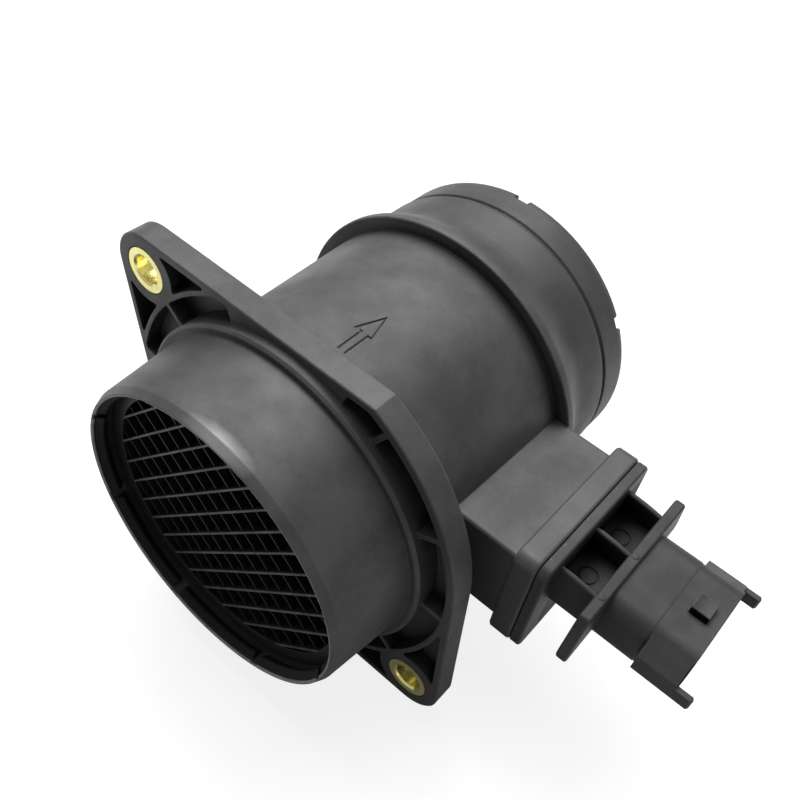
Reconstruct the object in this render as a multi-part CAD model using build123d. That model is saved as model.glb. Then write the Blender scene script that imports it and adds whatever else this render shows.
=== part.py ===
from build123d import *
import math
import os

# Mass airflow sensor in a round duct, sizes in millimetres.
# +Y is the air flow, +X the way the plug-in module sticks out, +Z up.
# The origin is the duct axis in the plane of the flange's inlet-side face.

os.makedirs("parts", exist_ok=True)

# Duct and inlet spigot
duct_bore_r = 36.2
grid_seat_step = 2.2
spigot_wall = 1.6
spigot_taper = 1.6
spigot_len = 24.6
rim_outer_edge = 0.9
rim_lead = 2.0
rim_inner_edge = 0.3
grid_seat_depth = 11.0
snap_count = 8
snap_first_angle = 25.0
snap_height = 1.2
snap_depth = 2.2
snap_land = 0.6
snap_gap = 2.4
snap_gap_depth = 0.4
seam_angle = 137.0

# Collar behind the spigot
collar_rise = 2.3
collar_front_y = -2.5
collar_edge = 0.7

# Two-hole flange
flange_t = 6.47
hole_out = 14.5
hole_angle = 140.9
tab_r = 9.3
disc_out = 3.1
flange_wall = 1.8
pocket_depth = 4.4
pocket_corner = 0.5
pocket_min_area = 6.0
boss_r = 8.8
arc_rib_lap = 0.5
shoulder_out = 1.6
web_t = 1.2
web_turns = [0.0, 36.1, 66.1, 96.1, 180.0]
pocket_turns = [(-24.9, 109.1), (151.6, 207.1)]
flange_edge = 0.6

# Compression bushes
bush_r = 5.75
bush_bore_r = 3.6
bush_gap = 0.25
bush_edge = 0.5

# Main tube, outlet bead and outlet barrel
tube_wall = 3.4
tube_flare = 1.2
bead_y = 54.8
bead_rise = 3.65
bead_w = 1.6
bead_edge = 0.3
bead_slope_len = 10.0
barrel_wall = 4.8
groove_y = 77.9
groove_w = 1.8
groove_drop = 0.9
end_band_wall = 4.6
outlet_y = 87.9
outlet_round = 1.0
outlet_round_len = 2.6
outlet_notch_count = 6
outlet_notch_angle = 32.0
outlet_notch_w = 4.2
outlet_notch_len = 2.6
outlet_notch_depth = 2.0

# Flow arrow engraved on top of the tube
arrow_x = 3.9
arrow_tail_y = 12.0
arrow_head_y = 19.2
arrow_tip_y = 27.1
arrow_tail_half = 1.25
arrow_head_half = 3.0
arrow_line = 0.55
arrow_depth = 0.4

# Tower that takes the sensor module
arm_y = 36.2
tower_rise = 18.7
tower_shift = -0.7
tower_half_y = 20.0
tower_half_z = 12.6
tower_corner = 1.0
band_shift = 0.6
band_z = -1.75
band_half_y = 22.2
band_half_z = 16.25
band_height = 5.9
band_corner = 3.0
band_edge = 0.8
band_root_edge = 0.5
well_shift = -0.45
well_half_y = 17.2
well_half_z = 10.0
well_corner = 3.0
seat_rise = 0.25
seat_inset = 1.6

# Sensor module: cap plate, shank and finger
cap_inset = 0.2
cap_t = 2.5
cap_edge = 0.4
shank_gap = 0.35
shank_lift = 2.4
seal_back = 12.8
seal_w = 2.6
seal_depth = 1.9
finger_shift = -0.2
finger_half_y = 13.5
finger_half_z = 5.5
finger_tip_wall = 4.0

# Electronics room and bypass channel in the finger
room_back = 2.6
room_len = 24.0
room_half_y = 10.5
room_floor_z = -1.4
cover_t = 1.2
cover_lap = 1.2
cover_gap = 0.2
plate_t = 0.8
board_t = 1.6
board_margin = 0.6
channel_back = 7.0
channel_len = 18.0
channel_floor_z = -3.6
channel_w = 5.0
channel_front = 7.0
channel_rear = 8.0

# Neck between cap plate and ear plate
plug_z = 1.3
neck_len = 9.1
neck_pitch = 14.4
neck_wall = 1.3
neck_top_z = 10.9
neck_arch = 1.0
neck_top_edge = 0.35
neck_floor_z = 3.8
neck_low_z = -1.2
ejector_r = 2.5
ejector_ring = 0.5
ejector_back = 4.7
ejector_depth = 0.3

# Ear plate
ear_t = 2.7
ear_top_z = 10.6
ear_low_z = -3.2
ear_side_h = 2.5
ear_top_half = 21.3
ear_low_half = 25.0
ear_corner = 1.0
ear_edge = 0.4

# Plug shroud
shroud_len = 21.35
shroud_half_y = 13.5
shroud_half_z = 7.7
shroud_corner = 5.0
shroud_wall = 1.5
step_back = 10.8
shroud_step = 0.12
socket_depth = 18.0
rail_back = 10.2
rail_len = 9.8
rail_half_y = 17.2
rail_low_z = 0.0
rail_top_z = 4.0
rail_edge = 0.5
rail_slope = 34.0
prong_len = 3.8
prong_w = 1.4
prong_edge = 0.4
nose_back = 7.3
nose_len = 4.5
nose_half_y = 2.5
nose_rise = 1.9
nose_dip = 0.3

# Terminals
terminal_count = 5
terminal_pitch = 4.2
terminal_w = 1.5
terminal_t = 0.6
terminal_back = 3.4
terminal_root = 4.0

# Straightening grid
grid_gap = 0.3
grid_ring_w = 3.3
grid_t = 5.35
grid_angle = 47.7
bold_pitch = 5.46
bold_count = 13
bold_shift = -0.76
bold_t = 0.55
thin_pitch = 5.6
thin_count = 12
thin_t = 0.4
thin_set_back = 0.6

# Parts on the circuit board and in the channel
chip_half = 4.0
chip_t = 1.3
chip_place = 10.0
capacitor_w = 2.4
capacitor_l = 3.6
capacitor_h = 1.4
capacitor_place = 5.0
holder_len = 12.0
holder_half_y = 2.6
holder_t = 0.8
sense_half = 1.4
sense_t = 0.4
bead_len = 4.0
thermistor_r = 1.1
thermistor_leg = 0.5
thermistor_place = 12.0

# Values that follow from the ones above
grid_seat_r = duct_bore_r + grid_seat_step
spigot_r = grid_seat_r + spigot_wall
spigot_root_r = spigot_r + spigot_taper
collar_r = spigot_root_r + collar_rise
hole_reach = collar_r + hole_out
disc_r = collar_r + disc_out
arc_rib_r = hole_reach - boss_r + arc_rib_lap
shoulder_r = arc_rib_r + shoulder_out
tab_x = hole_reach * math.cos(math.radians(hole_angle))
tab_z = hole_reach * math.sin(math.radians(hole_angle))
tube_front_r = duct_bore_r + tube_wall
tube_rear_r = tube_front_r + tube_flare
bead_r = tube_rear_r + bead_rise
barrel_r = duct_bore_r + barrel_wall
groove_r = barrel_r - groove_drop
end_band_r = duct_bore_r + end_band_wall
grid_seat_y = grid_seat_depth - spigot_len
grid_front_y = grid_seat_y - grid_t
snap_y = snap_depth - spigot_len
grid_ring_r = grid_seat_r - grid_gap
grid_ring_in_r = grid_ring_r - grid_ring_w
tower_y = arm_y + tower_shift
band_y = arm_y + band_shift
well_y = arm_y + well_shift
finger_y = arm_y + finger_shift
plug_y = arm_y
channel_y0 = finger_y - channel_front
channel_y1 = finger_y + channel_rear
tower_top_x = duct_bore_r + tower_rise
band_top_x = tower_top_x + band_height
cap_x0 = band_top_x + seat_rise
cap_x1 = cap_x0 + cap_t
neck_end_x = cap_x1 + neck_len
ear_x1 = neck_end_x + ear_t
shroud_end_x = ear_x1 + shroud_len
socket_floor_x = shroud_end_x - socket_depth
shank_inner_x = duct_bore_r + shank_lift
seal_x = band_top_x - seal_back
room_x1 = shank_inner_x - room_back
room_x0 = room_x1 - room_len
channel_x1 = room_x0 - channel_back
channel_x0 = channel_x1 - channel_len
finger_tip_x = channel_x0 - finger_tip_wall
board_z = room_floor_z + plate_t
board_top_z = board_z + board_t
cover_z = finger_half_z - cover_t
cover_x0 = room_x0 - cover_lap
channel_cover_x0 = channel_x0 - cover_lap
channel_cover_x1 = cover_x0 - cover_gap
thermistor_x = room_x0 + thermistor_place


def block(x0, x1, y0, y1, z0, z1):
    size = (x1 - x0, y1 - y0, z1 - z0)
    return Pos((x0 + x1) / 2, (y0 + y1) / 2, (z0 + z1) / 2) * Box(*size)


def bar_along_x(x0, x1, y, z, half_y, half_z, corner):
    face = Pos(y, z) * RectangleRounded(2 * half_y, 2 * half_z, corner)
    return Pos(x0, 0, 0) * extrude(Plane.YZ * face, amount=x1 - x0)


def slab_along_y(face, y0, y1):
    return Pos(0, y0, 0) * extrude(Plane.XZ * face, amount=y0 - y1)


def outline(points):
    return make_face(Polyline(*points, close=True))


def turned(points):
    return revolve(outline(points), Axis.Y)


def rod_along_y(x, z, radius, y0, y1):
    return slab_along_y(Pos(x, z) * Circle(radius), y0, y1)


def at_angle(radius, angle):
    turn = math.radians(angle)
    return (radius * math.cos(turn), radius * math.sin(turn))


def tube_r(y):
    share = y / bead_y
    return tube_front_r + (tube_rear_r - tube_front_r) * share


def outer_profile():
    crest_y = bead_y + bead_w
    slope_y = crest_y + bead_slope_len
    lip_y = outlet_y - outlet_round_len
    front = Polyline(
        (0, -spigot_len),
        (spigot_r - rim_outer_edge, -spigot_len),
        (spigot_r, rim_lead - spigot_len),
        (spigot_root_r, collar_front_y),
        (collar_r - collar_edge, collar_front_y),
        (collar_r, collar_front_y + collar_edge),
        (collar_r, flange_t / 2),
        (tube_front_r, flange_t / 2),
        (tube_rear_r, bead_y),
        (bead_r - bead_edge, bead_y),
        (bead_r, bead_y + bead_edge),
        (bead_r, crest_y),
    )
    slope = Bezier(
        (bead_r, crest_y),
        (bead_r, crest_y + bead_slope_len / 4),
        (barrel_r, slope_y - bead_slope_len / 2),
        (barrel_r, slope_y),
    )
    barrel = Line((barrel_r, slope_y), (barrel_r, groove_y - groove_w))
    groove = Bezier(
        (barrel_r, groove_y - groove_w),
        (barrel_r, groove_y - groove_w / 2),
        (groove_r, groove_y - groove_w / 2),
        (groove_r, groove_y),
    )
    band = Polyline(
        (groove_r, groove_y),
        (end_band_r, groove_y + groove_w / 4),
        (end_band_r, lip_y),
    )
    lip = Bezier(
        (end_band_r, lip_y),
        (end_band_r, outlet_y - outlet_round_len / 4),
        (end_band_r - outlet_round, outlet_y),
    )
    back = Polyline((end_band_r - outlet_round, outlet_y), (0, outlet_y), (0, -spigot_len))
    edges = []
    for piece in (front, slope, barrel, groove, band, lip, back):
        edges += piece.edges()
    return make_face(Wire(edges))


def bore_profile():
    lip_r = grid_seat_r - snap_height
    mouth_r = grid_seat_r + rim_inner_edge
    return outline(
        [
            (0, -spigot_len - 1),
            (mouth_r, -spigot_len - 1),
            (mouth_r, -spigot_len),
            (grid_seat_r, rim_inner_edge - spigot_len),
            (grid_seat_r, snap_y - snap_height),
            (lip_r, snap_y),
            (lip_r, snap_y + snap_land),
            (grid_seat_r, snap_y + snap_land + snap_height),
            (grid_seat_r, grid_seat_y),
            (duct_bore_r, grid_seat_y),
            (duct_bore_r, outlet_y - 1.0),
            (duct_bore_r + 1.0, outlet_y),
            (duct_bore_r + 1.0, outlet_y + 1),
            (0, outlet_y + 1),
        ]
    )


def tangent_turn(big_r):
    return math.degrees(math.acos((big_r - tab_r) / hole_reach))


def flange_face(inset):
    tab = tab_r - inset
    disc = disc_r - inset
    shoulder = shoulder_r - inset
    top_z = tab_z + tab
    corner = math.degrees(math.asin(top_z / shoulder))
    right = hole_angle - 180 + tangent_turn(shoulder_r)
    bottom = hole_angle - 180 - tangent_turn(disc_r)
    left = hole_angle + tangent_turn(disc_r)
    upper = (tab_x, tab_z)
    lower = (-tab_x, -tab_z)

    def on_tab(centre, angle):
        x, z = at_angle(tab, angle)
        return (centre[0] + x, centre[1] + z)

    edges = [
        Line((tab_x, top_z), at_angle(shoulder, corner)),
        CenterArc((0, 0), shoulder, corner, right - corner),
        Line(at_angle(shoulder, right), on_tab(lower, right)),
        CenterArc(lower, tab, right, bottom - right),
        Line(on_tab(lower, bottom), at_angle(disc, bottom)),
        CenterArc((0, 0), disc, bottom, left - 360 - bottom),
        Line(at_angle(disc, left), on_tab(upper, left)),
        CenterArc(upper, tab, left, 90 - left),
    ]
    return make_face(Wire([edge.edge() for edge in edges]))


def web(angle):
    return Rot(0, 0, angle) * Pos(hole_reach / 2, 0) * Rectangle(hole_reach, web_t)


def pocket_wedge(turns):
    lower = hole_angle - 180
    wide = 2 * hole_reach
    span = [(0, 0)]
    for i in range(7):
        share = i / 6
        turn = turns[0] + (turns[1] - turns[0]) * share
        span.append(at_angle(wide, lower + turn))
    return outline(span)


def soft_corners(face):
    small = offset(face, amount=-pocket_corner, kind=Kind.INTERSECTION)
    return offset(small, amount=pocket_corner, kind=Kind.ARC)


def pocket_face():
    room = flange_face(flange_wall) - Circle(collar_r)
    room = room - (Circle(arc_rib_r + web_t / 2) - Circle(arc_rib_r - web_t / 2))
    for sign in (1, -1):
        room = room - Pos(sign * tab_x, sign * tab_z) * Circle(boss_r)
    for turn in web_turns:
        room = room - web(hole_angle - 180 + turn)
    pockets = Sketch()
    for turns in pocket_turns:
        for piece in (room & pocket_wedge(turns)).faces():
            if piece.area > pocket_min_area:
                pockets = pockets + soft_corners(piece)
    return pockets


def flange():
    body = slab_along_y(flange_face(0), 0, flange_t)
    rims = body.edges().filter_by(Plane.XZ)
    body = chamfer(rims, flange_edge / 2)
    body = body - slab_along_y(pocket_face(), -1, pocket_depth)
    return body


def arrow_cutter():
    def arrow(grow):
        tail = arrow_tail_half + grow
        head = arrow_head_half + 2.4 * grow
        return make_face(
            Polyline(
                (arrow_x - tail, arrow_tail_y),
                (arrow_x - tail, arrow_head_y - grow),
                (arrow_x - head, arrow_head_y - grow),
                (arrow_x, arrow_tip_y + 1.8 * grow),
                (arrow_x + head, arrow_head_y - grow),
                (arrow_x + tail, arrow_head_y - grow),
                (arrow_x + tail, arrow_tail_y),
                close=True,
            )
        )

    line = arrow(0) - arrow(-arrow_line)
    line = extrude(Pos(0, 0, duct_bore_r) * line, amount=bead_r - duct_bore_r)
    shell = turned(
        [
            (tube_r(arrow_tail_y - 4) - arrow_depth, arrow_tail_y - 4),
            (tube_r(arrow_tip_y + 4) - arrow_depth, arrow_tip_y + 4),
            (bead_r + 4, arrow_tip_y + 4),
            (bead_r + 4, arrow_tail_y - 4),
        ]
    )
    return line & shell


def tower():
    post = bar_along_x(
        duct_bore_r / 2,
        tower_top_x + 0.5,
        tower_y,
        0,
        tower_half_y,
        tower_half_z,
        tower_corner,
    )
    band = bar_along_x(tower_top_x, band_top_x, band_y, band_z, band_half_y, band_half_z, band_corner)
    rims = band.edges().filter_by(Plane.YZ).group_by(Axis.X)
    band = chamfer(rims[0], band_root_edge)
    rims = band.edges().filter_by(Plane.YZ).group_by(Axis.X)
    band = fillet(rims[-1], band_edge)
    seat = bar_along_x(
        band_top_x - 1,
        cap_x0,
        band_y,
        band_z,
        band_half_y - seat_inset,
        band_half_z - seat_inset,
        band_corner - 1,
    )
    return post + band + seat


def notch(radius, angle, y, depth, length, width):
    x, z = at_angle(radius, angle)
    return Pos(x, y, z) * Rot(0, -angle, 0) * Box(2 * depth, 2 * length, width)


def housing():
    core = rod_along_y(0, 0, tube_front_r - 1, -1, outlet_y)
    body = revolve(outer_profile() - bore_profile(), Axis.Y)
    body = Rot(0, seam_angle, 0) * body
    body = body + (flange() - core)
    body = body + (tower() - core)
    body = body - bar_along_x(
        duct_bore_r / 2,
        cap_x0 + 1,
        well_y,
        0,
        well_half_y,
        well_half_z,
        well_corner,
    )
    for sign in (1, -1):
        body = body - rod_along_y(sign * tab_x, sign * tab_z, bush_r + bush_gap, -1, flange_t + 1)
    for i in range(outlet_notch_count):
        angle = outlet_notch_angle + i * 360 / outlet_notch_count
        body = body - notch(
            end_band_r,
            angle,
            outlet_y,
            outlet_notch_depth,
            outlet_notch_len,
            outlet_notch_w,
        )
    lip_depth = (snap_height + snap_gap_depth + 1) / 2
    lip_r = grid_seat_r + snap_gap_depth - lip_depth
    lip_len = spigot_len + snap_y + snap_land + snap_height + 0.2
    for i in range(snap_count):
        angle = snap_first_angle + i * 360 / snap_count
        body = body - notch(lip_r, angle, -spigot_len, lip_depth, lip_len, snap_gap)
    return body - arrow_cutter()


def bush(sign):
    body = rod_along_y(sign * tab_x, sign * tab_z, bush_r, 0, flange_t)
    body = body - rod_along_y(sign * tab_x, sign * tab_z, bush_bore_r, -1, flange_t + 1)
    rims = body.edges().filter_by(GeomType.CIRCLE)
    return chamfer(rims.sort_by(SortBy.RADIUS)[:2], bush_edge)


def inlet_grid():
    ring = Circle(grid_ring_r) - Circle(grid_ring_in_r)
    disc = Circle(grid_ring_r - 0.4)
    thin = Sketch()
    for i in range(thin_count):
        place = (i - (thin_count - 1) / 2) * thin_pitch
        thin = thin + Pos(place, 0) * Rectangle(thin_t, 2 * grid_ring_r)
    bold = Sketch()
    for i in range(bold_count):
        place = (i - (bold_count - 1) / 2) * bold_pitch + bold_shift
        bold = bold + Pos(0, place) * Rectangle(2 * grid_ring_r, bold_t)
    bars = slab_along_y(Rot(0, 0, grid_angle) * (bold & disc), grid_front_y, grid_seat_y)
    thin_y = grid_front_y + thin_set_back
    bars = bars + slab_along_y(Rot(0, 0, grid_angle) * (thin & disc), thin_y, grid_seat_y)
    return bars + slab_along_y(ring, grid_front_y, grid_seat_y)


def terminal_y(i):
    return plug_y + (i - (terminal_count - 1) / 2) * terminal_pitch


def terminal(i):
    y = terminal_y(i)
    body = block(
        room_x1 - terminal_root,
        shroud_end_x - terminal_back,
        y - terminal_w / 2,
        y + terminal_w / 2,
        board_top_z,
        board_top_z + terminal_t,
    )
    ends = body.edges().filter_by(Axis.Z).group_by(Axis.X)[-1]
    return chamfer(ends, 0.4)


def neck_rib(y):
    drop_z = neck_top_z - neck_arch
    middle_x = (cap_x1 + neck_end_x) / 2
    middle_z = neck_top_z - neck_arch / 4
    sides = Polyline(
        (neck_end_x, drop_z),
        (neck_end_x, neck_low_z),
        (cap_x1, neck_low_z),
        (cap_x1, neck_top_z),
    )
    top = ThreePointArc((cap_x1, neck_top_z), (middle_x, middle_z), (neck_end_x, drop_z))
    face = make_face(Wire(sides.edges() + top.edges()))
    body = Pos(0, y + neck_wall / 2, 0) * extrude(Plane.XZ * face, amount=neck_wall)
    rims = body.faces().sort_by(Axis.Z)[-1].edges().filter_by(Axis.Y, reverse=True)
    return chamfer(rims, neck_top_edge)


def neck():
    body = block(cap_x1, neck_end_x, plug_y - neck_pitch, plug_y + neck_pitch, neck_low_z, neck_floor_z)
    for i in (-1, 0, 1):
        body = body + neck_rib(plug_y + i * neck_pitch)
    x = neck_end_x - ejector_back
    for i in (-1, 1):
        mark = Cylinder(ejector_r, 2 * ejector_depth)
        mark = mark - Cylinder(ejector_r - ejector_ring, 3 * ejector_depth)
        body = body - Pos(x, plug_y + i * neck_pitch / 2, neck_floor_z) * mark
    return body


def ear_plate():
    face = outline(
        [
            (plug_y - ear_top_half, ear_top_z),
            (plug_y + ear_top_half, ear_top_z),
            (plug_y + ear_low_half, ear_low_z + ear_side_h),
            (plug_y + ear_low_half, ear_low_z),
            (plug_y - ear_low_half, ear_low_z),
            (plug_y - ear_low_half, ear_low_z + ear_side_h),
        ]
    )
    face = fillet(face.vertices(), ear_corner)
    body = Pos(neck_end_x, 0, 0) * extrude(Plane.YZ * face, amount=ear_t)
    return chamfer(body.edges().filter_by(Plane.YZ), ear_edge)


def rail(side):
    angle = 90 - rail_slope
    y, z = at_angle(shroud_corner, angle)
    y = y + shroud_half_y - shroud_corner
    z = z + plug_z + shroud_half_z - shroud_corner
    face = outline(
        [
            (0, rail_low_z),
            (0, z - 1),
            (y - 1, z - 1),
            (y, z),
            (rail_half_y - rail_edge, rail_top_z + rail_edge * math.tan(math.radians(rail_slope))),
            (rail_half_y, rail_top_z - rail_edge),
            (rail_half_y, rail_low_z),
        ]
    )
    if side < 0:
        face = mirror(face, Plane.YZ)
    x0 = shroud_end_x - rail_back
    body = Pos(x0, plug_y, 0) * extrude(Plane.YZ * face, amount=rail_len)
    outer = plug_y + side * (rail_half_y - prong_w / 2)
    prong = block(
        x0 + rail_len - 1,
        shroud_end_x + prong_len,
        outer - prong_w / 2,
        outer + prong_w / 2,
        rail_low_z,
        rail_top_z - rail_edge,
    )
    tip = prong.faces().sort_by(Axis.X)[-1]
    return body + chamfer(tip.edges(), prong_edge)


def locking_nose():
    top = plug_z + shroud_half_z
    x0 = shroud_end_x - nose_back
    x1 = x0 + nose_len
    sides = Polyline((x1, top + nose_rise), (x1, top - 1), (x0, top - 1), (x0, top + nose_rise))
    dip = ThreePointArc(
        (x0, top + nose_rise),
        ((x0 + x1) / 2, top + nose_rise - nose_dip),
        (x1, top + nose_rise),
    )
    face = make_face(Wire(sides.edges() + dip.edges()))
    return Pos(0, plug_y + nose_half_y, 0) * extrude(Plane.XZ * face, amount=2 * nose_half_y)


def shroud():
    y, z = plug_y, plug_z
    root_x = ear_x1 - ear_t / 2
    body = bar_along_x(root_x, shroud_end_x, y, z, shroud_half_y, shroud_half_z, shroud_corner)
    half_y = shroud_half_y + shroud_step
    half_z = shroud_half_z + shroud_step
    body = body + bar_along_x(root_x, shroud_end_x - step_back, y, z, half_y, half_z, shroud_corner)
    for side in (-1, 1):
        body = body + rail(side)
    body = body + locking_nose()
    half_y = shroud_half_y - shroud_wall
    half_z = shroud_half_z - shroud_wall
    corner = shroud_corner - shroud_wall
    body = body - bar_along_x(socket_floor_x, shroud_end_x + 1, y, z, half_y, half_z, corner)
    return body


def shank():
    half_y = well_half_y - shank_gap
    half_z = well_half_z - shank_gap
    body = bar_along_x(shank_inner_x, cap_x0 + 0.5, well_y, 0, half_y, half_z, well_corner - shank_gap)
    ring = bar_along_x(seal_x, seal_x + seal_w, well_y, 0, half_y + 1, half_z + 1, well_corner)
    core = bar_along_x(
        seal_x,
        seal_x + seal_w,
        well_y,
        0,
        half_y - seal_depth,
        half_z - seal_depth,
        1.0,
    )
    return body - (ring - core)


def finger():
    body = block(
        finger_tip_x,
        shank_inner_x + 1,
        finger_y - finger_half_y,
        finger_y + finger_half_y,
        -finger_half_z,
        finger_half_z,
    )
    front = body.edges().filter_by(Axis.X).group_by(Axis.Y)[0]
    body = fillet(front, finger_half_z - 1)
    rear = body.edges().filter_by(Axis.X).group_by(Axis.Y)[-1]
    return chamfer(rear, 2.0)


def room():
    y0 = finger_y - room_half_y
    y1 = finger_y + room_half_y
    hole = block(room_x0, room_x1, y0, y1, room_floor_z, finger_half_z + 1)
    lap = cover_lap
    hole = hole + block(cover_x0, room_x1 + lap, y0 - lap, y1 + lap, cover_z, finger_half_z + 1)
    return hole


def channel():
    z0 = channel_floor_z
    z1 = cover_z
    w = channel_w
    inlet = block(channel_x0, channel_x0 + w, finger_y - finger_half_y - 1, channel_y1, z0, z1)
    rise = block(channel_x0, channel_x1, channel_y1 - w, channel_y1, z0, z1)
    back = block(channel_x1 - w, channel_x1, channel_y0, channel_y1, z0, z1)
    out = block(channel_x1 - w, channel_x1, channel_y0, channel_y0 + w, -finger_half_z - 1, z1)
    hole = inlet + rise + back + out
    lap = cover_lap
    hole = hole + block(
        channel_cover_x0,
        channel_cover_x1,
        channel_y0 - lap,
        channel_y1 + lap,
        cover_z,
        finger_half_z + 1,
    )
    return hole


def holder_slot():
    z1 = board_top_z
    half = holder_half_y
    return block(room_x0 - holder_len, room_x0 + 1, finger_y - half, finger_y + half, z1 - holder_t, z1)


def sensor_carrier():
    half_y = band_half_y - cap_inset
    half_z = band_half_z - cap_inset
    body = bar_along_x(cap_x0, cap_x1, band_y, band_z, half_y, half_z, band_corner)
    body = chamfer(body.edges().filter_by(Plane.YZ).group_by(Axis.X)[-1], cap_edge)
    body = body + neck()
    body = body + ear_plate()
    body = body + shroud()
    body = body + shank()
    body = body + finger()
    body = body - room()
    body = body - channel()
    body = body - holder_slot()
    y = thermistor_spot()[1]
    body = body - block(
        thermistor_x - bead_len,
        thermistor_x + bead_len,
        finger_y - finger_half_y - 1,
        y + thermistor_r + 1,
        -thermistor_r - 1,
        thermistor_r + 1,
    )
    for i in range(terminal_count):
        y = terminal_y(i)
        body = body - block(
            room_x1 - 1,
            socket_floor_x + 1,
            y - terminal_w / 2,
            y + terminal_w / 2,
            board_top_z,
            board_top_z + terminal_t,
        )
    return body


def thermistor_spot():
    return (thermistor_x, finger_y - finger_half_y + thermistor_r - 0.4)


def temperature_sensor():
    x, y = thermistor_spot()
    body = Pos(x, y, 0) * Rot(0, 90, 0) * Cylinder(thermistor_r, bead_len)
    body = body + block(
        x - bead_len,
        x + bead_len,
        y - thermistor_leg / 2,
        y + thermistor_leg / 2,
        -thermistor_leg / 2,
        thermistor_leg / 2,
    )
    return body


def electronics_cover():
    lap = cover_lap - cover_gap
    body = block(
        room_x0 - lap,
        room_x1 + lap,
        finger_y - room_half_y - lap,
        finger_y + room_half_y + lap,
        cover_z,
        finger_half_z,
    )
    return chamfer(body.faces().sort_by(Axis.Z)[-1].edges(), 0.3)


def bypass_cover():
    lap = cover_lap - cover_gap
    body = block(
        channel_x0 - lap,
        channel_cover_x1 - cover_gap,
        channel_y0 - lap,
        channel_y1 + lap,
        cover_z,
        finger_half_z,
    )
    return chamfer(body.faces().sort_by(Axis.Z)[-1].edges(), 0.3)


def room_sheet(z0, z1):
    m = board_margin
    return block(
        room_x0 + m,
        room_x1 - m,
        finger_y - room_half_y + m,
        finger_y + room_half_y - m,
        z0,
        z1,
    )


def chip_holder():
    half = holder_half_y - 0.2
    return block(
        room_x0 - holder_len + 1,
        room_x0,
        finger_y - half,
        finger_y + half,
        board_top_z - holder_t,
        board_top_z,
    )


def sensor_chip():
    x = channel_x1 - channel_w / 2
    z = board_top_z
    half = sense_half
    return block(x - half, x + half, finger_y - half, finger_y + half, z, z + sense_t)


def control_chip():
    x = room_x0 + chip_place
    z = board_top_z
    body = block(x - chip_half, x + chip_half, finger_y - chip_half, finger_y + chip_half, z, z + chip_t)
    return chamfer(body.faces().sort_by(Axis.Z)[-1].edges(), 0.25)


def board_capacitor(side):
    x = room_x0 + capacitor_place
    y = finger_y + side * (room_half_y - board_margin - capacitor_w)
    z = board_top_z
    half_l = capacitor_l / 2
    half_w = capacitor_w / 2
    return block(x - half_l, x + half_l, y - half_w, y + half_w, z, z + capacitor_h)


def module_seal():
    half_y = well_half_y - 0.1
    half_z = well_half_z - 0.1
    inner = seal_depth + shank_gap
    ring = bar_along_x(seal_x, seal_x + seal_w, well_y, 0, half_y, half_z, well_corner - 0.1)
    hole = bar_along_x(
        seal_x - 1,
        seal_x + seal_w + 1,
        well_y,
        0,
        well_half_y - inner,
        well_half_z - inner,
        1.0,
    )
    return ring - hole


def save(name, shape):
    shape.label = name
    export_step(shape, os.path.join("parts", name + ".step"))
    print(name, len(shape.solids()), round(shape.volume, 1))


save("housing", housing())
save("flange_bush_upper", bush(1))
save("flange_bush_lower", bush(-1))
save("inlet_grid", inlet_grid())
save("sensor_carrier", sensor_carrier())
save("electronics_cover", electronics_cover())
save("bypass_cover", bypass_cover())
save("base_plate", room_sheet(room_floor_z, board_z))
save("circuit_board", room_sheet(board_z, board_top_z))
save("control_chip", control_chip())
save("board_capacitor_front", board_capacitor(-1))
save("board_capacitor_rear", board_capacitor(1))
save("chip_holder", chip_holder())
save("sensor_chip", sensor_chip())
save("temperature_sensor", temperature_sensor())
save("module_seal", module_seal())
for number in range(terminal_count):
    save("terminal_" + str(number + 1), terminal(number))
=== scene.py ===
# %% [markdown]
# This lesson dresses a mass airflow sensor: a moulded duct with a side tower, and a
# plug-in module that measures the air. The shapes come from the imported model, which
# is loaded first, so that every finish is tried on the real shape. The model's box is
# kept.

from types import SimpleNamespace

import bmesh
import bpy
from mathutils import Matrix, Vector


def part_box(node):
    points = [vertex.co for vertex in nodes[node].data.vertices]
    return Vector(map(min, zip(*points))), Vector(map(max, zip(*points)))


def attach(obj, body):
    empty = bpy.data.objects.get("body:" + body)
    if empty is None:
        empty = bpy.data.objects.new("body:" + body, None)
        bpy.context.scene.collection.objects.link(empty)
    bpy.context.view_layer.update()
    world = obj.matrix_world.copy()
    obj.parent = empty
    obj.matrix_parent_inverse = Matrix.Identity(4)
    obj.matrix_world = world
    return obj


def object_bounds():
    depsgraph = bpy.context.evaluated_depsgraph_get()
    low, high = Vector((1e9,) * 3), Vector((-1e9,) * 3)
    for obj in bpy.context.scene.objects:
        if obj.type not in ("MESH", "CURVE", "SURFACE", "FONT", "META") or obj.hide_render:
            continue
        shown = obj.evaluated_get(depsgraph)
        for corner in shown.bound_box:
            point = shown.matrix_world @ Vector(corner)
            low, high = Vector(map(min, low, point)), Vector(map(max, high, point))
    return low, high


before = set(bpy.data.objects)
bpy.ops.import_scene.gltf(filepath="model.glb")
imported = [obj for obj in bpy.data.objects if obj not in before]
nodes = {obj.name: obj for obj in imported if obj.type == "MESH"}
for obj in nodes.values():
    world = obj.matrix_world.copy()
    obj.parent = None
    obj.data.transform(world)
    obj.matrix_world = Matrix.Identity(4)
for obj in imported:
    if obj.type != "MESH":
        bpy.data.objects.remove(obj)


def box_numbers():
    low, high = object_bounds()
    return [list(low), list(high)]


cad_box = box_numbers()
print("nodes", len(nodes), "box", cad_box)

# %% [markdown]
# A finish in Blender is a small network of shader nodes. One helper adds a node and
# sets its inputs by name, and another wires two nodes. A third starts a finish with
# the Principled shader and the object coordinates. Pictures could do the same work,
# but a procedural finish is as sharp from near as from far, and it covers every side.

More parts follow.
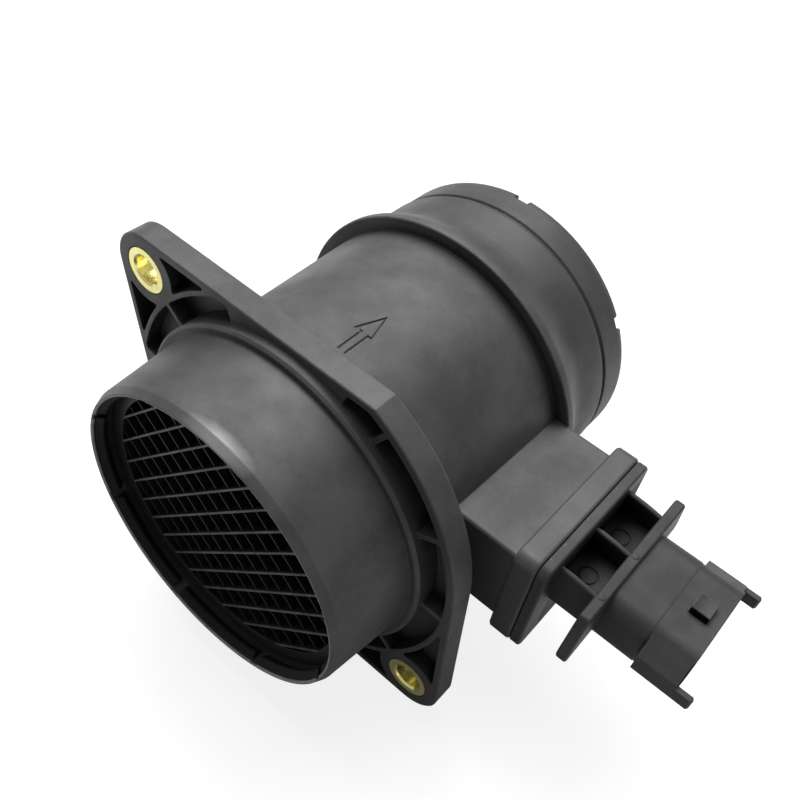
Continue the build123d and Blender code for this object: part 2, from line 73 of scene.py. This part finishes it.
# %% Start a finish
def add_node(tree, kind, **settings):
    node = tree.nodes.new(kind)
    for key, value in settings.items():
        if key in node.inputs:
            node.inputs[key].default_value = value
        else:
            setattr(node, key, value)
    return node


def wire(tree, source, target):
    tree.links.new(source, target)


def blank_finish(name):
    material = bpy.data.materials.new(name)
    material.use_nodes = True
    tree = material.node_tree
    shader = tree.nodes["Principled BSDF"]
    coords = add_node(tree, "ShaderNodeTexCoord").outputs["Object"]
    return SimpleNamespace(material=material, tree=tree, shader=shader, coords=coords)


def feed(finish, socket, value):
    wire(finish.tree, value, finish.shader.inputs[socket])


# %% [markdown]
# A real surface is never one even tone, and noise gives that variation. The object
# coordinates are in metres, so a noise of scale 1000 has features about one millimetre
# wide. Most of its values lie between 0.3 and 0.7, and the helper stretches that part
# to the wanted numbers.

# %% Patterns
def noise(tree, coords, scale, detail, rough):
    node = add_node(tree, "ShaderNodeTexNoise", Scale=scale, Detail=detail, Roughness=rough)
    wire(tree, coords, node.inputs["Vector"])
    return node.outputs["Fac"]


def stretch(tree, value, low, high, start=0.3, end=0.7):
    node = add_node(tree, "ShaderNodeMapRange")
    node.inputs["From Min"].default_value = start
    node.inputs["From Max"].default_value = end
    node.inputs["To Min"].default_value = low
    node.inputs["To Max"].default_value = high
    wire(tree, value, node.inputs["Value"])
    return node.outputs["Result"]


def maths(tree, operation, first, second):
    node = add_node(tree, "ShaderNodeMath", operation=operation)
    for socket, value in zip(node.inputs, (first, second)):
        if isinstance(value, (int, float)):
            socket.default_value = value
        else:
            wire(tree, value, socket)
    return node.outputs[0]


def blend_colour(tree, amount, first, second):
    node = add_node(tree, "ShaderNodeMix", data_type="RGBA")
    wire(tree, amount, node.inputs["Factor"])
    for socket, value in zip(node.inputs[6:8], (first, second)):
        if isinstance(value, tuple):
            socket.default_value = (*value, 1.0)
        else:
            wire(tree, value, socket)
    return node.outputs[2]


# %% [markdown]
# Corners and hollows come from the shape. The bevel node rounds the normals near an
# edge, so where they differ from the flat ones there is a corner, which is painted
# paler for rubbing and as a painted highlight. The ambient occlusion node looks a few
# millimetres around a point, and a point that it finds closed in lies in a hollow,
# which gets painted shade. Both could be painted by hand, but these nodes follow the
# shape by themselves when it changes. Sizes are written in millimetres, times MM.

# %% Corners, hollows and grain
MM = 0.001
HOLLOW_REACH = 6.0 * MM
HOLLOW_RANGE = (0.15, 0.6)
CORNER_SAMPLES = 4
HOLLOW_SAMPLES = 8


def corner_mask(tree, radius):
    rounded = add_node(tree, "ShaderNodeBevel", Radius=radius, samples=CORNER_SAMPLES)
    surface = add_node(tree, "ShaderNodeNewGeometry").outputs["Normal"]
    dot = add_node(tree, "ShaderNodeVectorMath", operation="DOT_PRODUCT")
    wire(tree, rounded.outputs["Normal"], dot.inputs[0])
    wire(tree, surface, dot.inputs[1])
    return rounded.outputs["Normal"], maths(tree, "SUBTRACT", 1.0, dot.outputs["Value"])


def hollow_mask(tree):
    around = add_node(tree, "ShaderNodeAmbientOcclusion", Distance=HOLLOW_REACH)
    around.samples = HOLLOW_SAMPLES
    around.only_local = True
    return stretch(tree, around.outputs["AO"], 1.0, 0.0, *HOLLOW_RANGE)


def add_bump(finish, height, depth, normal=None):
    bump = add_node(finish.tree, "ShaderNodeBump", Strength=1.0, Distance=depth)
    wire(finish.tree, height, bump.inputs["Height"])
    if normal is not None:
        wire(finish.tree, normal, bump.inputs["Normal"])
    feed(finish, "Normal", bump.outputs["Normal"])


# %% [markdown]
# The duct and the module are glass-filled polyester, moulded in a lightly textured
# tool. The surface is nearly black, with a fine grain and faint cloudy flow marks. Its
# corners are painted paler, partly for rubbing and partly as a painted highlight where
# they catch light. Deep pockets get painted shade and a duller gloss. One recipe makes
# all the moulded parts, with other numbers for each, because they come out of like tools.

# %% Recipe for moulded plastic
CLOUD_SCALE = 60.0
CLOUD_RANGE = (0.38, 0.62)
CLOUD_SHARE = 0.8
SPECKLE_SCALE = 1500.0
SPECKLE_SHARE = 0.2
CORNER_RANGE = (0.015, 0.2)
MOST_WEAR_AND_HIGHLIGHT = 0.85
LEAST_WEAR_AND_HIGHLIGHT = 0.4
HOLLOW_GLOSS = 0.3
CLOUD_ROUGHNESS = 0.05
GRAIN_ROUGHNESS = 0.04


def moulded_plastic(
    name, dark, pale, rough, grain, depth, edge=0.4 * MM, rub_and_highlight=2.2, gloss=0.4, hollow_shade=0.25
):
    finish = blank_finish(name)
    tree = finish.tree
    cloud = noise(tree, finish.coords, CLOUD_SCALE, detail=6.0, rough=0.62)
    speckle = noise(tree, finish.coords, SPECKLE_SCALE, detail=2.0, rough=0.6)
    fine = noise(tree, finish.coords, grain, detail=3.0, rough=0.7)
    clouds = stretch(tree, cloud, 0.0, CLOUD_SHARE, *CLOUD_RANGE)
    tone = maths(tree, "ADD", clouds, stretch(tree, speckle, 0.0, SPECKLE_SHARE))
    base = blend_colour(tree, tone, dark, pale)
    rounded, corner = corner_mask(tree, edge)
    sharp = stretch(tree, corner, 0.0, MOST_WEAR_AND_HIGHLIGHT, *CORNER_RANGE)
    # corners are painted paler: partly rubbed wear, partly a painted highlight
    edge_wear_and_highlight = maths(tree, "MULTIPLY", sharp, stretch(tree, speckle, LEAST_WEAR_AND_HIGHLIGHT, 1.0))
    wear_and_highlight_tone = tuple(min(1.0, channel * rub_and_highlight) for channel in pale)
    with_wear_and_highlight = blend_colour(tree, edge_wear_and_highlight, base, wear_and_highlight_tone)
    finish.hollow = hollow_mask(tree)
    # hollows are painted darker: painted shade where little light reaches
    painted_hollow_shade = tuple(channel * hollow_shade for channel in dark)
    finish.colour = blend_colour(tree, finish.hollow, with_wear_and_highlight, painted_hollow_shade)
    duller, glossier = rough + CLOUD_ROUGHNESS, rough - CLOUD_ROUGHNESS
    uneven = stretch(tree, cloud, duller, glossier, *CLOUD_RANGE)
    grainy = stretch(tree, fine, -GRAIN_ROUGHNESS, GRAIN_ROUGHNESS)
    finish.roughness = maths(tree, "ADD", uneven, grainy)
    shine = stretch(tree, finish.hollow, gloss, HOLLOW_GLOSS * gloss, 0.0, 1.0)
    feed(finish, "Specular IOR Level", shine)
    feed(finish, "Base Color", finish.colour)
    feed(finish, "Roughness", finish.roughness)
    add_bump(finish, fine, depth, rounded)
    return finish


# %% [markdown]
# Some marks sit at one place of a part, and a mask says where. The duct is turned about
# the Y axis, so the distance from that axis and the place along it find any of its
# faces. The distance from a spot, squashed along some axes, gives an oval. Masks are
# joined by a product where all have to hold, and by a maximum where one is enough.

# %% Masks for places
NO_LENGTHWISE = (1.0, 0.0, 1.0)


def axis_distance(finish):
    flat = add_node(finish.tree, "ShaderNodeVectorMath", operation="MULTIPLY")
    wire(finish.tree, finish.coords, flat.inputs[0])
    flat.inputs[1].default_value = NO_LENGTHWISE
    reach = add_node(finish.tree, "ShaderNodeVectorMath", operation="LENGTH")
    wire(finish.tree, flat.outputs["Vector"], reach.inputs[0])
    return reach.outputs["Value"]


def spot_distance(finish, spot, squash=(1.0, 1.0, 1.0)):
    away = add_node(finish.tree, "ShaderNodeVectorMath", operation="SUBTRACT")
    wire(finish.tree, finish.coords, away.inputs[0])
    away.inputs[1].default_value = spot
    scaled = add_node(finish.tree, "ShaderNodeVectorMath", operation="MULTIPLY")
    wire(finish.tree, away.outputs["Vector"], scaled.inputs[0])
    scaled.inputs[1].default_value = squash
    reach = add_node(finish.tree, "ShaderNodeVectorMath", operation="LENGTH")
    wire(finish.tree, scaled.outputs["Vector"], reach.inputs[0])
    return reach.outputs["Value"]


def place_along(finish, axis):
    split = add_node(finish.tree, "ShaderNodeSeparateXYZ")
    wire(finish.tree, finish.coords, split.inputs[0])
    return split.outputs[axis]


def below(tree, value, start, end):
    return stretch(tree, value, 1.0, 0.0, start, end)


def above(tree, value, start, end):
    return stretch(tree, value, 0.0, 1.0, start, end)


def every(tree, first, *others):
    mask = first
    for other in others:
        mask = maths(tree, "MULTIPLY", mask, other)
    return mask


def either(tree, first, second):
    return maths(tree, "MAXIMUM", first, second)


def paint(finish, mask, colour):
    finish.colour = blend_colour(finish.tree, mask, finish.colour, colour)


# %% [markdown]
# The duct is the largest moulding and has the widest corners. Its polished core left
# the inside smooth, and little light comes in, so the inside gets painted shade, nearly
# black: the mask is everything nearer to the axis than the spigot's inner wall. The
# rim's inner edge is painted paler, partly as rubbing where it is pushed onto a seat and
# partly as a painted highlight, and a blotchy noise makes it uneven. Both could be
# materials of their own, but masks need no cut in the mesh.

# %% Duct plastic
SPIGOT_INNER_RADIUS = 38.4 * MM
RIM_Y = cad_box[0][1]
BLOTCH_SCALE = 350.0
PAINTED_BORE_SHADE = (0.012, 0.012, 0.013)
LIP_WEAR_AND_HIGHLIGHT = (0.65, 0.65, 0.652)
DUCT_GLOSS = 0.4
CORE_GLOSS = 0.12

duct = moulded_plastic(
    "duct_plastic",
    dark=(0.048, 0.048, 0.051),
    pale=(0.092, 0.092, 0.095),
    rough=0.48,
    grain=3500.0,
    depth=0.03 * MM,
    edge=0.5 * MM,
    rub_and_highlight=2.8,
    gloss=DUCT_GLOSS,
)
tree = duct.tree
radius = axis_distance(duct)
along = place_along(duct, "Y")
blotch = noise(tree, duct.coords, BLOTCH_SCALE, detail=5.0, rough=0.65)
inside = below(tree, radius, SPIGOT_INNER_RADIUS - 0.1 * MM, SPIGOT_INNER_RADIUS + 0.2 * MM)
# the bore is painted nearly black as shade
paint(duct, inside, PAINTED_BORE_SHADE)
lip_wear_and_highlight = every(
    tree,
    below(tree, along, RIM_Y + 0.3 * MM, RIM_Y + 0.6 * MM),
    below(tree, radius, SPIGOT_INNER_RADIUS + 0.4 * MM, SPIGOT_INNER_RADIUS + 0.6 * MM),
    stretch(tree, blotch, 0.5, 1.0),
)
# the rim's inner lip is painted pale: partly rubbed wear, partly a painted highlight
paint(duct, lip_wear_and_highlight, LIP_WEAR_AND_HIGHLIGHT)
dull = either(tree, inside, duct.hollow)
feed(duct, "Specular IOR Level", stretch(tree, dull, DUCT_GLOSS, CORE_GLOSS, 0.0, 1.0))
print("duct plastic", len(tree.nodes), "shader nodes")

# %% [markdown]
# The tube gets painted shade in the corner in front of the bead. On the barrel behind
# the bead the colour is a little darker. Both marks run all round, so a mask on the place
# along the duct makes them, and the distance from the axis keeps the painted shade at
# the bead's foot.

# %% Painted corner shade and darker barrel
BEAD_FRONT = 54.8 * MM
TUBE_REAR_RADIUS = 40.8 * MM
PAINTED_CORNER_SHADE = (0.016, 0.016, 0.017)
CORNER_SHADE_COVER = 0.8
DARKER_BARREL = (0.030, 0.030, 0.032)
DARKER_BARREL_COVER = 0.35

corner_shade = every(
    tree,
    stretch(tree, along, 0.0, CORNER_SHADE_COVER, BEAD_FRONT - 4.8 * MM, BEAD_FRONT - 0.8 * MM),
    below(tree, radius, TUBE_REAR_RADIUS + 0.7 * MM, TUBE_REAR_RADIUS + 2.2 * MM),
    below(tree, along, BEAD_FRONT + 0.1 * MM, BEAD_FRONT + 0.3 * MM),
)
# painted shade in the corner in front of the bead
paint(duct, corner_shade, PAINTED_CORNER_SHADE)
darker_barrel = stretch(tree, along, 0.0, DARKER_BARREL_COVER, BEAD_FRONT + 1.2 * MM, BEAD_FRONT + 3.2 * MM)
# the barrel behind the bead is painted a little darker
paint(duct, darker_barrel, DARKER_BARREL)
print("dust ends", round(BEAD_FRONT / MM, 1), "mm behind the flange's inlet face")

# %% [markdown]
# One patch beside the rim is scuffed and polished by handling, and it also gets a
# painted highlight. It is an oval around a spot on the spigot's top, and the blotchy
# noise makes its border ragged. The same mask lowers the roughness for the polish and
# raises the tone as the painted highlight.

# %% Scuffed patch with a painted highlight
SCUFF_PLACE = (5.6 * MM, RIM_Y + 1.2 * MM, 39.7 * MM)
SCUFF_SQUASH = (0.40, 1.2, 1.0)
SCUFF_CORE = 2.6 * MM
SCUFF_BORDER = 5.2 * MM
SCUFF_RAGGED = 2.0 * MM
PAINTED_HIGHLIGHT_TONE = (0.26, 0.26, 0.262)
HIGHLIGHT_COVER = 0.8
SCUFF_POLISH = 0.26

ragged = maths(tree, "MULTIPLY", blotch, SCUFF_RAGGED)
away = maths(tree, "ADD", spot_distance(duct, SCUFF_PLACE, SCUFF_SQUASH), ragged)
scuff_and_highlight = below(tree, away, SCUFF_CORE, SCUFF_BORDER)
# the patch is painted paler as a highlight
paint(duct, maths(tree, "MULTIPLY", scuff_and_highlight, HIGHLIGHT_COVER), PAINTED_HIGHLIGHT_TONE)
feed(duct, "Base Color", duct.colour)
polish = maths(tree, "MULTIPLY", scuff_and_highlight, SCUFF_POLISH)
feed(duct, "Roughness", maths(tree, "SUBTRACT", duct.roughness, polish))
print("duct plastic with its marks", len(tree.nodes), "shader nodes")

# %% [markdown]
# The grid straightens the air before it is measured. Its ribs are deep and thin, so it
# looks black between them. The front edges of the thick ribs get a painted highlight,
# in streaks. Those edges all lie in the grid's front plane and inside its ring, so these
# two places make the mask, and no face has to be picked.

# %% Grid plastic
GRID_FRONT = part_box("inlet_grid")[0][1]
GRID_RING_INSIDE = 34.8 * MM
STREAK_SCALE = 160.0
PAINTED_RIB_HIGHLIGHT = (0.22, 0.22, 0.222)

grid = moulded_plastic(
    "grid_plastic",
    dark=(0.020, 0.022, 0.021),
    pale=(0.030, 0.033, 0.031),
    rough=0.4,
    grain=4500.0,
    depth=0.01 * MM,
    edge=0.2 * MM,
    rub_and_highlight=1.3,
    gloss=0.24,
    hollow_shade=0.7,
)
tree = grid.tree
streak = noise(tree, grid.coords, STREAK_SCALE, detail=3.0, rough=0.6)
rib_highlight = every(
    tree,
    below(tree, place_along(grid, "Y"), GRID_FRONT + 0.05 * MM, GRID_FRONT + 0.35 * MM),
    below(tree, axis_distance(grid), GRID_RING_INSIDE - 0.2 * MM, GRID_RING_INSIDE + 0.1 * MM),
    stretch(tree, streak, 0.45, 1.0, 0.35, 0.6),
)
# the thick ribs' front edges are painted pale as a highlight
paint(grid, rib_highlight, PAINTED_RIB_HIGHLIGHT)
feed(grid, "Base Color", grid.colour)
print("grid plastic", len(tree.nodes), "shader nodes")

# %% [markdown]
# The module is moulded in a finer tool. Its neck has two deep bays between ribs, which
# get painted shade, nearly black, and so does the inlet side of the locking nose. The
# bays are masked by their place: between the cap plate and the ear plate, from the first
# rib on and below the ribs' tops. The painted shade gets weaker towards the ear plate,
# and an oval around one spot covers the nose's side.

# %% Module plastic
MODULE_Y = 36.2 * MM
RIB_PITCH = 14.4 * MM
NEAR_RIB_Y = MODULE_Y - RIB_PITCH
CAP_FACE = 63.5 * MM
EAR_BACK = 72.6 * MM
BAY_RIM = 10.4 * MM
NOSE_SIDE = (91.7 * MM, MODULE_Y - 2.5 * MM, 9.8 * MM)
NOSE_SQUASH = (0.45, 3.0, 0.9)
PAINTED_BAY_SHADE = (0.004, 0.004, 0.004)
FIRST_BAY_SHADE = 1.0
LAST_BAY_SHADE = 0.35
MODULE_GLOSS = 0.26
BAY_SHADE_GLOSS = 0.06

module = moulded_plastic(
    "module_plastic",
    dark=(0.034, 0.034, 0.037),
    pale=(0.062, 0.062, 0.065),
    rough=0.46,
    grain=4500.0,
    depth=0.02 * MM,
    edge=0.4 * MM,
    rub_and_highlight=2.6,
)
tree = module.tree
outward = place_along(module, "X")
bay = every(
    tree,
    stretch(tree, outward, FIRST_BAY_SHADE, LAST_BAY_SHADE, EAR_BACK - 6.6 * MM, EAR_BACK - 0.2 * MM),
    below(tree, outward, EAR_BACK - 0.1 * MM, EAR_BACK + 0.1 * MM),
    above(tree, outward, CAP_FACE - 0.3 * MM, CAP_FACE + 0.1 * MM),
    above(tree, place_along(module, "Y"), NEAR_RIB_Y + 0.5 * MM, NEAR_RIB_Y + 0.8 * MM),
    below(tree, place_along(module, "Z"), BAY_RIM - 2.4 * MM, BAY_RIM),
)
nose = below(tree, spot_distance(module, NOSE_SIDE, NOSE_SQUASH), 1.1 * MM, 1.6 * MM)
bay_and_nose_shade = either(tree, bay, nose)
# the bays and the nose's side are painted nearly black as shade
paint(module, bay_and_nose_shade, PAINTED_BAY_SHADE)
dull = either(tree, bay_and_nose_shade, module.hollow)
feed(module, "Specular IOR Level", stretch(tree, dull, MODULE_GLOSS, BAY_SHADE_GLOSS, 0.0, 1.0))
print("module plastic", len(tree.nodes), "shader nodes")

# %% [markdown]
# Where the module's cap plate meets the tower, the seam holds pale dust. A narrow strip
# of flecks on the plate, beside the tower's end face, stands for it. Crumbs could be
# modelled, but at a tenth of a millimetre they aren't worth their faces.

# %% Dust in the seam
TOWER_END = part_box("housing")[1][0]
FLECK_SCALE = 900.0
FLECK_RANGE = (0.60, 0.70)
FLECK_COVER = 0.8
SEAM_DUST = (0.16, 0.16, 0.155)

flecks = noise(tree, module.coords, FLECK_SCALE, detail=3.0, rough=0.6)
seam = every(
    tree,
    above(tree, outward, TOWER_END - 0.45 * MM, TOWER_END - 0.05 * MM),
    below(tree, outward, TOWER_END + 0.45 * MM, TOWER_END + 0.95 * MM),
    stretch(tree, flecks, 0.0, FLECK_COVER, *FLECK_RANGE),
)
paint(module, seam, SEAM_DUST)
feed(module, "Base Color", module.colour)
print("tower end at", round(TOWER_END / MM, 2), "mm")

# %% [markdown]
# Two lids close the finger's board room and its bypass channel. They come from the same
# kind of tool in a slightly blacker plastic. Inside the duct nothing rubs them, so the
# recipe's usual edges, with rubbing and a painted highlight, and its painted shade in
# hollows are enough, and they get no marks of their own.

# %% Cover plastic
covers = moulded_plastic(
    "cover_plastic",
    dark=(0.03, 0.03, 0.032),
    pale=(0.045, 0.045, 0.048),
    rough=0.5,
    grain=4000.0,
    depth=0.02 * MM,
    edge=0.3 * MM,
)
print("cover plastic", len(covers.tree.nodes), "shader nodes")

# %% [markdown]
# Metals and small parts are too small for marks of their own, but none is perfectly
# even. Two helpers are enough for them: one clouds the tone between the colour and a
# darker one, and the other lets one fine noise move the gloss and the bump together, as
# on a real surface, where the rougher spots are also the higher ones.

# %% Helpers for small surfaces
def cloud_tone(finish, colour, scale, darkest):
    cloud = noise(finish.tree, finish.coords, scale, detail=4.0, rough=0.6)
    darker = tuple(channel * darkest for channel in colour)
    share = stretch(finish.tree, cloud, 0.0, 1.0)
    feed(finish, "Base Color", blend_colour(finish.tree, share, darker, colour))


def grain_gloss(finish, scale, softness, smoothest, roughest, depth):
    fine = noise(finish.tree, finish.coords, scale, detail=2.0, rough=softness)
    feed(finish, "Roughness", stretch(finish.tree, fine, smoothest, roughest))
    add_bump(finish, fine, depth)


# %% [markdown]
# The bushes are turned brass, pressed into the flange so that a screw can be tightened
# without crushing the plastic. Turning leaves fine marks and handling dulls the brass
# here and there, and at this size real grooves wouldn't look any different from noise.
# The base plate and the plug's contacts are stamped from sheet, and the same recipe
# serves them with other numbers.

# %% Metals
METAL_CLOUD_SCALE = 400.0
METAL_DARKEST = 0.8


def metal(name, colour, rough, grain, depth):
    finish = blank_finish(name)
    finish.shader.inputs["Metallic"].default_value = 1.0
    cloud_tone(finish, colour, METAL_CLOUD_SCALE, METAL_DARKEST)
    grain_gloss(finish, grain, 0.5, rough - 0.06, rough + 0.08, depth)
    return finish.material


bush_brass = metal("bush_brass", (0.97, 0.90, 0.38), 0.24, 5000.0, 0.008 * MM)
plate_metal = metal("plate_metal", (0.72, 0.73, 0.75), 0.35, 3000.0, 0.005 * MM)
terminal_metal = metal("terminal_metal", (0.80, 0.77, 0.70), 0.25, 3000.0, 0.004 * MM)
print("metals", bush_brass.name, plate_metal.name, terminal_metal.name)

# %% [markdown]
# The small parts inside the finger are hardly seen, but they still get true finishes:
# green solder resist, moulded chips, fired capacitors, a glassy measuring element and a
# rubber seal. Each needs only a tone and a gloss, because its shape says the rest.

# %% Small parts
SMALL_CLOUD_SCALE = 300.0
SMALL_DARKEST = 0.75
SMALL_GRAIN = 2500.0
SMALL_BUMP = 0.006 * MM


def plain_finish(name, colour, rough):
    finish = blank_finish(name)
    cloud_tone(finish, colour, SMALL_CLOUD_SCALE, SMALL_DARKEST)
    grain_gloss(finish, SMALL_GRAIN, 0.6, rough - 0.05, rough + 0.05, SMALL_BUMP)
    return finish.material


small_parts = {
    "circuit_board": plain_finish("board_resist", (0.03, 0.16, 0.06), 0.35),
    "control_chip": plain_finish("chip_black", (0.02, 0.02, 0.022), 0.4),
    "board_capacitor_front": plain_finish("capacitor_tan", (0.36, 0.23, 0.11), 0.35),
    "board_capacitor_rear": plain_finish("capacitor_tan_rear", (0.34, 0.22, 0.11), 0.35),
    "chip_holder": plain_finish("holder_plastic", (0.06, 0.06, 0.06), 0.5),
    "sensor_chip": plain_finish("element_glass", (0.05, 0.06, 0.12), 0.12),
    "temperature_sensor": plain_finish("thermistor_bead", (0.02, 0.02, 0.03), 0.2),
    "module_seal": plain_finish("seal_rubber", (0.015, 0.015, 0.015), 0.65),
}
print("small parts", len(small_parts))

# %% [markdown]
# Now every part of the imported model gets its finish. The shapes are already right, so
# nothing is modelled again: a new material in an object's slot is all it takes. The
# contacts are stamped alike and share one metal, so a loop finds them by their names.

# %% Dress the nodes
finishes = {
    "housing": duct.material,
    "inlet_grid": grid.material,
    "flange_bush_upper": bush_brass,
    "flange_bush_lower": bush_brass,
    "sensor_carrier": module.material,
    "electronics_cover": covers.material,
    "bypass_cover": covers.material,
    "base_plate": plate_metal,
}
finishes.update(small_parts)
for name in nodes:
    if name.startswith("terminal_"):
        finishes[name] = terminal_metal
for name, material in finishes.items():
    for slot in nodes[name].material_slots:
        slot.material = material
print("finishes set", len(finishes), "of", len(nodes), "nodes")

# %% [markdown]
# The ear plate was filled through small gates where the neck's ribs meet it. The gates
# were trimmed flush and left round marks on its top edge. A mark could be painted, but
# it catches light on its rim, so it is a low disc: a cylinder whose rims are bevelled,
# sunk half into the plate so that no gap shows under it.

# %% Gate mark
GATE_RADIUS = 0.9 * MM
GATE_HEIGHT = 0.12 * MM
GATE_SIDES = 32
GATE_ROUNDING = 0.6 * GATE_HEIGHT


def gate_mark(name, place):
    shape = bmesh.new()
    bmesh.ops.create_cone(
        shape,
        cap_ends=True,
        segments=GATE_SIDES,
        radius1=GATE_RADIUS,
        radius2=GATE_RADIUS,
        depth=2 * GATE_HEIGHT,
        matrix=Matrix.Translation(place),
    )
    rims = []
    for edge in shape.edges:
        first, second = edge.verts
        if abs(first.co.z - second.co.z) < GATE_HEIGHT / 2:
            rims.append(edge)
    bmesh.ops.bevel(
        shape,
        geom=rims,
        offset=GATE_ROUNDING,
        offset_type="OFFSET",
        segments=2,
        profile=0.5,
        affect="EDGES",
        material=-1,
    )
    mesh = bpy.data.meshes.new(name)
    shape.to_mesh(mesh)
    shape.free()
    mesh.shade_smooth()
    mark = bpy.data.objects.new(name, mesh)
    bpy.context.collection.objects.link(mark)
    mark.data.materials.append(module.material)
    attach(mark, "root")
    return mark


# %% [markdown]
# Two marks show, one above the first rib and one above the middle rib. They stand in
# the middle of the plate's top edge, so the ribs and the plate give their places, and
# one function makes both.

# %% Gate marks on the ear plate
EAR_THICKNESS = 2.7 * MM
EAR_MIDDLE = EAR_BACK + EAR_THICKNESS / 2
EAR_TOP = 10.6 * MM

for label, rib_y in (("near", NEAR_RIB_Y), ("middle", MODULE_Y)):
    mark = gate_mark("gate_mark_" + label, Vector((EAR_MIDDLE, rib_y, EAR_TOP)))
    print(mark.name, len(mark.data.polygons), "faces")

# %% [markdown]
# The part lies on white paper, which is a plain sheet just under its lowest point. It
# could be a bent backdrop, but the camera looks down steeply enough for a flat one.

# %% Floor
FLOOR_GAP = 4.0 * MM
FLOOR_SIZE = 6.0

floor_z = cad_box[0][2] - FLOOR_GAP
bpy.ops.mesh.primitive_plane_add(size=FLOOR_SIZE, location=(0.0, 0.0, floor_z))
floor = bpy.context.object
floor.name = "paper_floor"
print("floor at", round(floor_z / MM, 2), "mm")

# %% [markdown]
# The paper has to look white, but more light on it would also brighten the part. So it
# is grey and lit like the part, and glows only for rays that come from the camera, from
# a reflection or through glass. It reads as white, keeps the soft shadow, and adds no
# light. The glow is a little weaker near the part, to leave the shadow in view, and
# much weaker there in reflections, because that paper lies in the part's own shade.

# %% Paper
PAPER_GREY = (0.35, 0.35, 0.35, 1.0)
PAPER_ROUGHNESS = 0.9
WHITE = (1.0, 1.0, 1.0, 1.0)
GLOW_NEAR = 0.84
GLOW_FAR = 1.0
GLOW_RANGE = (0.2, 0.8)
GLOSS_NEAR = 0.1
GLOSS_FAR = 0.9
GLOSS_RANGE = (0.06, 0.17)


def seen_directly(tree, in_gloss):
    path = add_node(tree, "ShaderNodeLightPath")
    mirrored = maths(tree, "MULTIPLY", path.outputs["Is Glossy Ray"], in_gloss)
    seen = maths(tree, "MAXIMUM", path.outputs["Is Camera Ray"], mirrored)
    return maths(tree, "MAXIMUM", seen, path.outputs["Is Transmission Ray"])


paper = blank_finish("paper")
tree = paper.tree
paper.shader.inputs["Base Color"].default_value = PAPER_GREY
paper.shader.inputs["Roughness"].default_value = PAPER_ROUGHNESS
paper.shader.inputs["Specular IOR Level"].default_value = 0.0
paper.shader.inputs["Emission Color"].default_value = WHITE
away = spot_distance(paper, (0.0, 0.0, 0.0))
glow = stretch(tree, away, GLOW_NEAR, GLOW_FAR, *GLOW_RANGE)
in_gloss = stretch(tree, away, GLOSS_NEAR, GLOSS_FAR, *GLOSS_RANGE)
feed(paper, "Emission Strength", maths(tree, "MULTIPLY", seen_directly(tree, in_gloss), glow))
floor.data.materials.append(paper.material)
print("paper", len(tree.nodes), "shader nodes")

# %% [markdown]
# The background works in the same way. The camera sees it white, and brass and plastic
# mirror half of that. As a light it is only a weak even fill, which keeps the deepest
# shadows from going black.

# %% Background
SKY_IN_GLOSS = 0.5
SKY_FILL = 0.1

world = bpy.data.worlds.new("studio")
bpy.context.scene.world = world
world.use_nodes = True
tree = world.node_tree
sky = tree.nodes["Background"]
sky.inputs["Color"].default_value = WHITE
strength = maths(tree, "MAXIMUM", seen_directly(tree, SKY_IN_GLOSS), SKY_FILL)
wire(tree, strength, sky.inputs["Strength"])
print("background", world.name)

# %% [markdown]
# Nearly all the light comes from one large round lamp, like the softbox of a small
# studio. It hangs high over the part, towards the outlet and away from the plug, so the
# tops are bright and the sides that face the camera fall off softly. A small lamp
# beside it has a crisper edge and draws the pale streak on the spigot's top. Together
# they light a level surface about as brightly as its colour is written.

# %% Lamps
def soft_lamp(name, place, target, size, watts):
    data = bpy.data.lights.new(name, "AREA")
    data.shape = "DISK"
    data.size = size
    data.energy = watts
    lamp = bpy.data.objects.new(name, data)
    bpy.context.collection.objects.link(lamp)
    lamp.location = place
    aim = Vector(target) - Vector(place)
    lamp.rotation_euler = aim.to_track_quat("-Z", "Y").to_euler()
    print(name, "stands", round(aim.length, 2), "m away")
    return lamp


soft_lamp("main_lamp", (-0.27, 0.34, 0.85), (0.0, 0.02, 0.0), size=1.2, watts=12.0)
soft_lamp("small_lamp", (-0.22, 0.20, 0.80), (0.0, -0.02, 0.04), size=0.2, watts=1.4)

# %% [markdown]
# The camera stands where the photograph was taken from. Its place and turn come from
# matching the rims, the flange and the plug to a pinhole camera. The lens follows from
# the focal length in pixels, for a picture 800 pixels wide.

# %% Camera
CAMERA_PLACE = Vector((91.514, -96.443, 179.200)) * MM
LOOK_RIGHT = Vector((0.75238, 0.64763, 0.12045))
LOOK_DOWN = Vector((0.54580, -0.51050, -0.66445))
LOOK_AHEAD = Vector((-0.36882, 0.56565, -0.73757))
FOCAL_PIXELS = 927.2
PICTURE_PIXELS = 800
SENSOR_WIDTH = 36.0
NEAREST = 5.0 * MM

camera_data = bpy.data.cameras.new("camera")
camera_data.sensor_width = SENSOR_WIDTH
camera_data.lens = FOCAL_PIXELS / PICTURE_PIXELS * SENSOR_WIDTH
camera_data.clip_start = NEAREST
camera = bpy.data.objects.new("camera", camera_data)
bpy.context.collection.objects.link(camera)
turn = Matrix((LOOK_RIGHT, -LOOK_DOWN, -LOOK_AHEAD)).transposed().to_4x4()
camera.matrix_world = Matrix.Translation(CAMERA_PLACE) @ turn
bpy.context.scene.camera = camera
bpy.context.scene.view_settings.view_transform = "Standard"
print("camera", [round(v, 4) for v in camera.location])
